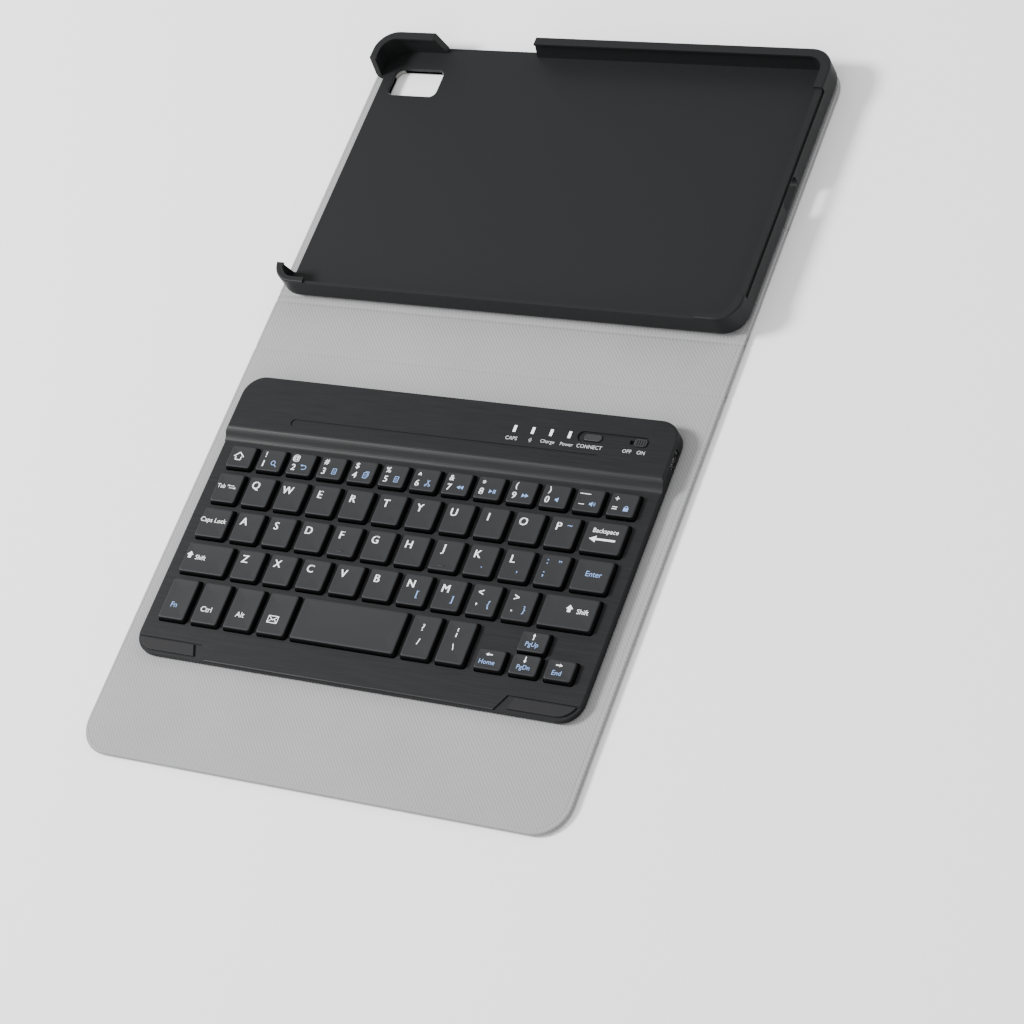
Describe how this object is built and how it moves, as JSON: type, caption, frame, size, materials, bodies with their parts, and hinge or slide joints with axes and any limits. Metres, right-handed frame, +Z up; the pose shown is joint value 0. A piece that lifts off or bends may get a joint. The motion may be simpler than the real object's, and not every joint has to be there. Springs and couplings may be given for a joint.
{
  "type": "tablet keyboard case",
  "caption": "Folding cover with a moulded tray for a small tablet, a lift-off wireless keyboard held by magnets, and a back panel that folds into a stand.",
  "frame": {"origin": "under the middle of the open, flat folio, on the surface that it lies on", "axes": "+X to the right of a person typing, +Y away from the person along the open folio, +Z up"},
  "size_m": [0.2116, 0.337, 0.0143],
  "materials": {
    "outer_skin": "fine grained satin synthetic leather",
    "board": "plain pressed fibre board",
    "lining": "fine diagonal twill",
    "magnet": "nickel plated",
    "steel_plate": "zinc plated sheet",
    "tray_plastic": "fine matt texture",
    "adhesive": "double sided foam tape",
    "keyboard_plastic": "brushed matt",
    "keycap_plastic": "fine matt",
    "pad_rubber": "satin",
    "membrane": "dark film",
    "dome_rubber": "silicone",
    "scissor_plastic": "plain",
    "battery_foil": "foil pouch",
    "circuit_board": "solder mask",
    "chip": "plain",
    "lens": "translucent white",
    "socket_metal": "nickel plated",
    "switch_plastic": "satin",
    "screw": "black zinc"
  },
  "bodies": {
    "front_cover": {"front_cover_skin": "outer_skin", "front_cover_board": "board", "front_cover_lining": "lining", "keyboard_magnets": "magnet", "stand_magnets": "magnet"},
    "spine": {"spine_skin": "outer_skin", "spine_board": "board", "spine_lining": "lining"},
    "hinge_strip": {"spine_hinge_strip": "outer_skin"},
    "lower_back": {"lower_back_skin": "outer_skin", "lower_back_board": "board", "lower_back_lining": "lining"},
    "upper_back": {"upper_back_skin": "outer_skin", "upper_back_board": "board", "upper_back_lining": "lining", "tray_shell": "tray_plastic", "foot_plates": "steel_plate", "tray_adhesive": "adhesive"},
    "keyboard": {"keyboard_base": "keyboard_plastic", "rubber_feet": "pad_rubber", "keyboard_deck": "keyboard_plastic", "front_pads": "pad_rubber", "key_support_plate": "steel_plate", "key_membrane": "membrane", "battery": "battery_foil", "main_board": "circuit_board", "controller_chip": "chip", "power_switch_body": "chip", "connect_switch_body": "chip", "indicator_lamps": "lens", "indicator_lenses": "lens", "charge_socket": "socket_metal", "case_screws": "screw", "latch_plates": "steel_plate", "key_domes": "dome_rubber", "key_scissors": "scissor_plastic"},
    "power_knob": {"power_knob": "switch_plastic"},
    "connect_button": {"connect_button": "switch_plastic"},
    "home_key": {"home_key": "keycap_plastic"},
    "number_keys": {"number_keys": "keycap_plastic"},
    "tab_key": {"tab_key": "keycap_plastic"},
    "top_row_keys": {"top_row_keys": "keycap_plastic"},
    "backspace_key": {"backspace_key": "keycap_plastic"},
    "caps_lock_key": {"caps_lock_key": "keycap_plastic"},
    "middle_row_keys": {"middle_row_keys": "keycap_plastic"},
    "enter_key": {"enter_key": "keycap_plastic"},
    "left_shift_key": {"left_shift_key": "keycap_plastic"},
    "lower_row_keys": {"lower_row_keys": "keycap_plastic"},
    "right_shift_key": {"right_shift_key": "keycap_plastic"},
    "function_key": {"function_key": "keycap_plastic"},
    "control_key": {"control_key": "keycap_plastic"},
    "alt_key": {"alt_key": "keycap_plastic"},
    "menu_key": {"menu_key": "keycap_plastic"},
    "space_bar": {"space_bar": "keycap_plastic"},
    "slash_key": {"slash_key": "keycap_plastic"},
    "backslash_key": {"backslash_key": "keycap_plastic"},
    "left_arrow_key": {"left_arrow_key": "keycap_plastic"},
    "down_arrow_key": {"down_arrow_key": "keycap_plastic"},
    "right_arrow_key": {"right_arrow_key": "keycap_plastic"},
    "up_arrow_key": {"up_arrow_key": "keycap_plastic"}
  },
  "joints": [
    {"name": "spine_fold", "type": "hinge", "parent": "front_cover", "child": "spine", "pos_m": [0, 0.0148, 0.0012], "axis": [-1, 0, 0], "range_deg": [-90, 0]},
    {"name": "back_fold", "type": "hinge", "parent": "spine", "child": "hinge_strip", "pos_m": [0, 0.0378, 0.0012], "axis": [-1, 0, 0], "range_deg": [-90, 0]},
    {"name": "stand_raise", "type": "hinge", "parent": "hinge_strip", "child": "lower_back", "pos_m": [0, 0.0408, 0.0012], "axis": [1, 0, 0], "range_deg": [0, 103.1]},
    {"name": "tray_tilt", "type": "hinge", "parent": "lower_back", "child": "upper_back", "pos_m": [0, 0.091, 0.0012], "axis": [1, 0, 0], "range_deg": [-33.2, 0]},
    {"name": "keyboard_lift", "type": "slide", "parent": "front_cover", "child": "keyboard", "axis": [0, 0, 1], "range_m": [0, 0.06]},
    {"name": "power_slide", "type": "slide", "parent": "keyboard", "child": "power_knob", "axis": [1, 0, 0], "range_m": [-0.003, 0]},
    {"name": "connect_press", "type": "slide", "parent": "keyboard", "child": "connect_button", "axis": [0, 0, -1], "range_m": [0, 0.0004], "stiffness_N_per_m": 2500, "springref_m": -0.0002},
    {"name": "home_press", "type": "slide", "parent": "keyboard", "child": "home_key", "axis": [0, 0, -1], "range_m": [0, 0.0012], "stiffness_N_per_m": 400, "springref_m": -0.0003, "deforming": ["key_domes", "key_scissors"]},
    {"name": "number_press", "type": "slide", "parent": "keyboard", "child": "number_keys", "axis": [0, 0, -1], "range_m": [0, 0.0012], "stiffness_N_per_m": 4800, "springref_m": -0.0003, "deforming": ["key_domes", "key_scissors"]},
    {"name": "tab_press", "type": "slide", "parent": "keyboard", "child": "tab_key", "axis": [0, 0, -1], "range_m": [0, 0.0012], "stiffness_N_per_m": 400, "springref_m": -0.0003, "deforming": ["key_domes", "key_scissors"]},
    {"name": "top_row_press", "type": "slide", "parent": "keyboard", "child": "top_row_keys", "axis": [0, 0, -1], "range_m": [0, 0.0012], "stiffness_N_per_m": 4000, "springref_m": -0.0003, "deforming": ["key_domes", "key_scissors"]},
    {"name": "backspace_press", "type": "slide", "parent": "keyboard", "child": "backspace_key", "axis": [0, 0, -1], "range_m": [0, 0.0012], "stiffness_N_per_m": 400, "springref_m": -0.0003, "deforming": ["key_domes", "key_scissors"]},
    {"name": "caps_lock_press", "type": "slide", "parent": "keyboard", "child": "caps_lock_key", "axis": [0, 0, -1], "range_m": [0, 0.0012], "stiffness_N_per_m": 400, "springref_m": -0.0003, "deforming": ["key_domes", "key_scissors"]},
    {"name": "middle_row_press", "type": "slide", "parent": "keyboard", "child": "middle_row_keys", "axis": [0, 0, -1], "range_m": [0, 0.0012], "stiffness_N_per_m": 4000, "springref_m": -0.0003, "deforming": ["key_domes", "key_scissors"]},
    {"name": "enter_press", "type": "slide", "parent": "keyboard", "child": "enter_key", "axis": [0, 0, -1], "range_m": [0, 0.0012], "stiffness_N_per_m": 400, "springref_m": -0.0003, "deforming": ["key_domes", "key_scissors"]},
    {"name": "left_shift_press", "type": "slide", "parent": "keyboard", "child": "left_shift_key", "axis": [0, 0, -1], "range_m": [0, 0.0012], "stiffness_N_per_m": 400, "springref_m": -0.0003, "deforming": ["key_domes", "key_scissors"]},
    {"name": "lower_row_press", "type": "slide", "parent": "keyboard", "child": "lower_row_keys", "axis": [0, 0, -1], "range_m": [0, 0.0012], "stiffness_N_per_m": 3600, "springref_m": -0.0003, "deforming": ["key_domes", "key_scissors"]},
    {"name": "right_shift_press", "type": "slide", "parent": "keyboard", "child": "right_shift_key", "axis": [0, 0, -1], "range_m": [0, 0.0012], "stiffness_N_per_m": 400, "springref_m": -0.0003, "deforming": ["key_domes", "key_scissors"]},
    {"name": "function_press", "type": "slide", "parent": "keyboard", "child": "function_key", "axis": [0, 0, -1], "range_m": [0, 0.0012], "stiffness_N_per_m": 400, "springref_m": -0.0003, "deforming": ["key_domes", "key_scissors"]},
    {"name": "control_press", "type": "slide", "parent": "keyboard", "child": "control_key", "axis": [0, 0, -1], "range_m": [0, 0.0012], "stiffness_N_per_m": 400, "springref_m": -0.0003, "deforming": ["key_domes", "key_scissors"]},
    {"name": "alt_press", "type": "slide", "parent": "keyboard", "child": "alt_key", "axis": [0, 0, -1], "range_m": [0, 0.0012], "stiffness_N_per_m": 400, "springref_m": -0.0003, "deforming": ["key_domes", "key_scissors"]},
    {"name": "menu_press", "type": "slide", "parent": "keyboard", "child": "menu_key", "axis": [0, 0, -1], "range_m": [0, 0.0012], "stiffness_N_per_m": 400, "springref_m": -0.0003, "deforming": ["key_domes", "key_scissors"]},
    {"name": "space_press", "type": "slide", "parent": "keyboard", "child": "space_bar", "axis": [0, 0, -1], "range_m": [0, 0.0012], "stiffness_N_per_m": 400, "springref_m": -0.0003, "deforming": ["key_domes", "key_scissors"]},
    {"name": "slash_press", "type": "slide", "parent": "keyboard", "child": "slash_key", "axis": [0, 0, -1], "range_m": [0, 0.0012], "stiffness_N_per_m": 400, "springref_m": -0.0003, "deforming": ["key_domes", "key_scissors"]},
    {"name": "backslash_press", "type": "slide", "parent": "keyboard", "child": "backslash_key", "axis": [0, 0, -1], "range_m": [0, 0.0012], "stiffness_N_per_m": 400, "springref_m": -0.0003, "deforming": ["key_domes", "key_scissors"]},
    {"name": "left_arrow_press", "type": "slide", "parent": "keyboard", "child": "left_arrow_key", "axis": [0, 0, -1], "range_m": [0, 0.0012], "stiffness_N_per_m": 400, "springref_m": -0.0003, "deforming": ["key_domes", "key_scissors"]},
    {"name": "down_arrow_press", "type": "slide", "parent": "keyboard", "child": "down_arrow_key", "axis": [0, 0, -1], "range_m": [0, 0.0012], "stiffness_N_per_m": 400, "springref_m": -0.0003, "deforming": ["key_domes", "key_scissors"]},
    {"name": "right_arrow_press", "type": "slide", "parent": "keyboard", "child": "right_arrow_key", "axis": [0, 0, -1], "range_m": [0, 0.0012], "stiffness_N_per_m": 400, "springref_m": -0.0003, "deforming": ["key_domes", "key_scissors"]},
    {"name": "up_arrow_press", "type": "slide", "parent": "keyboard", "child": "up_arrow_key", "axis": [0, 0, -1], "range_m": [0, 0.0012], "stiffness_N_per_m": 400, "springref_m": -0.0003, "deforming": ["key_domes", "key_scissors"]}
  ],
  "couplings": [
    {"joint": "tray_tilt", "follows": "stand_raise", "ratio": -0.321}
  ]
}
